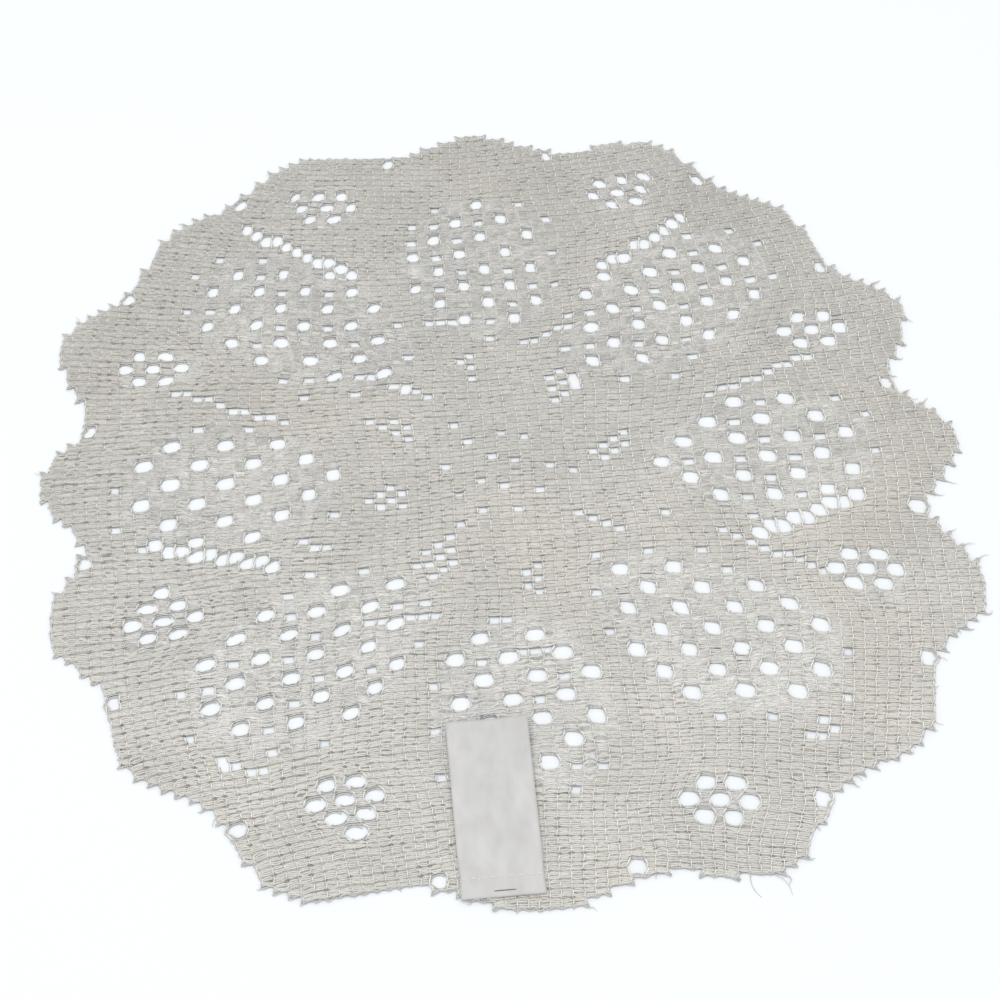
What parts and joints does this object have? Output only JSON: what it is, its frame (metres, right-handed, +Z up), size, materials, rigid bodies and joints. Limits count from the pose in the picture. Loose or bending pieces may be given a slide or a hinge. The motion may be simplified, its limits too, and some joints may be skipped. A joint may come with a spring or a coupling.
{
  "type": "lace doily",
  "caption": "Round filet-lace table doily with a lobed, stepped edge, open petals and rim leaves, and a blank sewn-on satin label.",
  "frame": {"origin": "on the surface that the doily lies on, under the middle of its bounding box", "axes": "+X along the rows of the net, +Y along its wales and away from the label's end, +Z up"},
  "size_m": [0.307, 0.3206, 0.0039],
  "materials": {
    "lace": "matt knitted lace yarn, natural off-white",
    "label": "white woven satin tape with a soft sheen"
  },
  "bodies": {
    "root": {"lace": "lace", "label": "label"}
  },
  "joints": []
}
